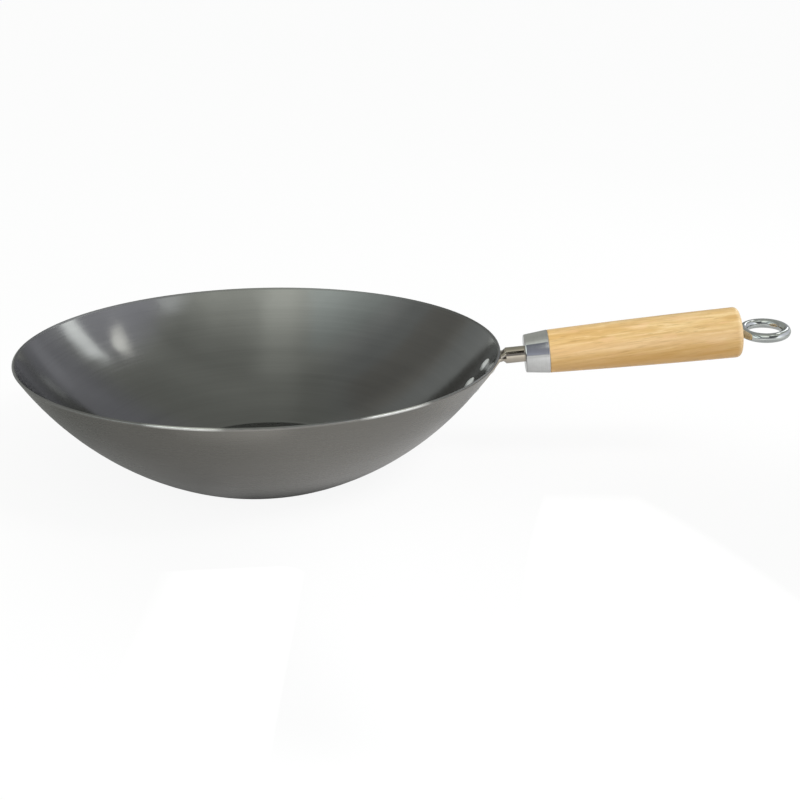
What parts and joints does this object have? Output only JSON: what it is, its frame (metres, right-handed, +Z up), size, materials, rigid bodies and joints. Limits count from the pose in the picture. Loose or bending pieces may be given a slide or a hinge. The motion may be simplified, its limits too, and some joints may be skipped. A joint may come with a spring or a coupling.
{
  "type": "carbon steel wok",
  "caption": "Flat-bottomed carbon steel wok with a riveted steel neck, a metal ferrule, a turned wooden grip and a hanging eye at its end.",
  "frame": {"origin": "centre of the flat underside, on the surface that the wok rests on", "axes": "+X from the bowl's centre along the handle, +Z up out of the bowl, +Y across"},
  "size_m": [0.4793, 0.2998, 0.1017],
  "materials": {
    "carbon_steel": "dark satin",
    "neck_plating": "bright",
    "rivet_metal": "satin",
    "ferrule_metal": "polished",
    "lacquered_wood": "clear lacquer",
    "plug_brass": "turned",
    "eye_plating": "bright"
  },
  "bodies": {
    "root": {"wok_bowl": "carbon_steel", "neck_tube": "neck_plating", "rivet_upper": "rivet_metal", "rivet_lower": "rivet_metal", "ferrule": "ferrule_metal", "grip": "lacquered_wood", "threaded_plug": "plug_brass", "eye_bolt": "eye_plating"}
  },
  "joints": []
}
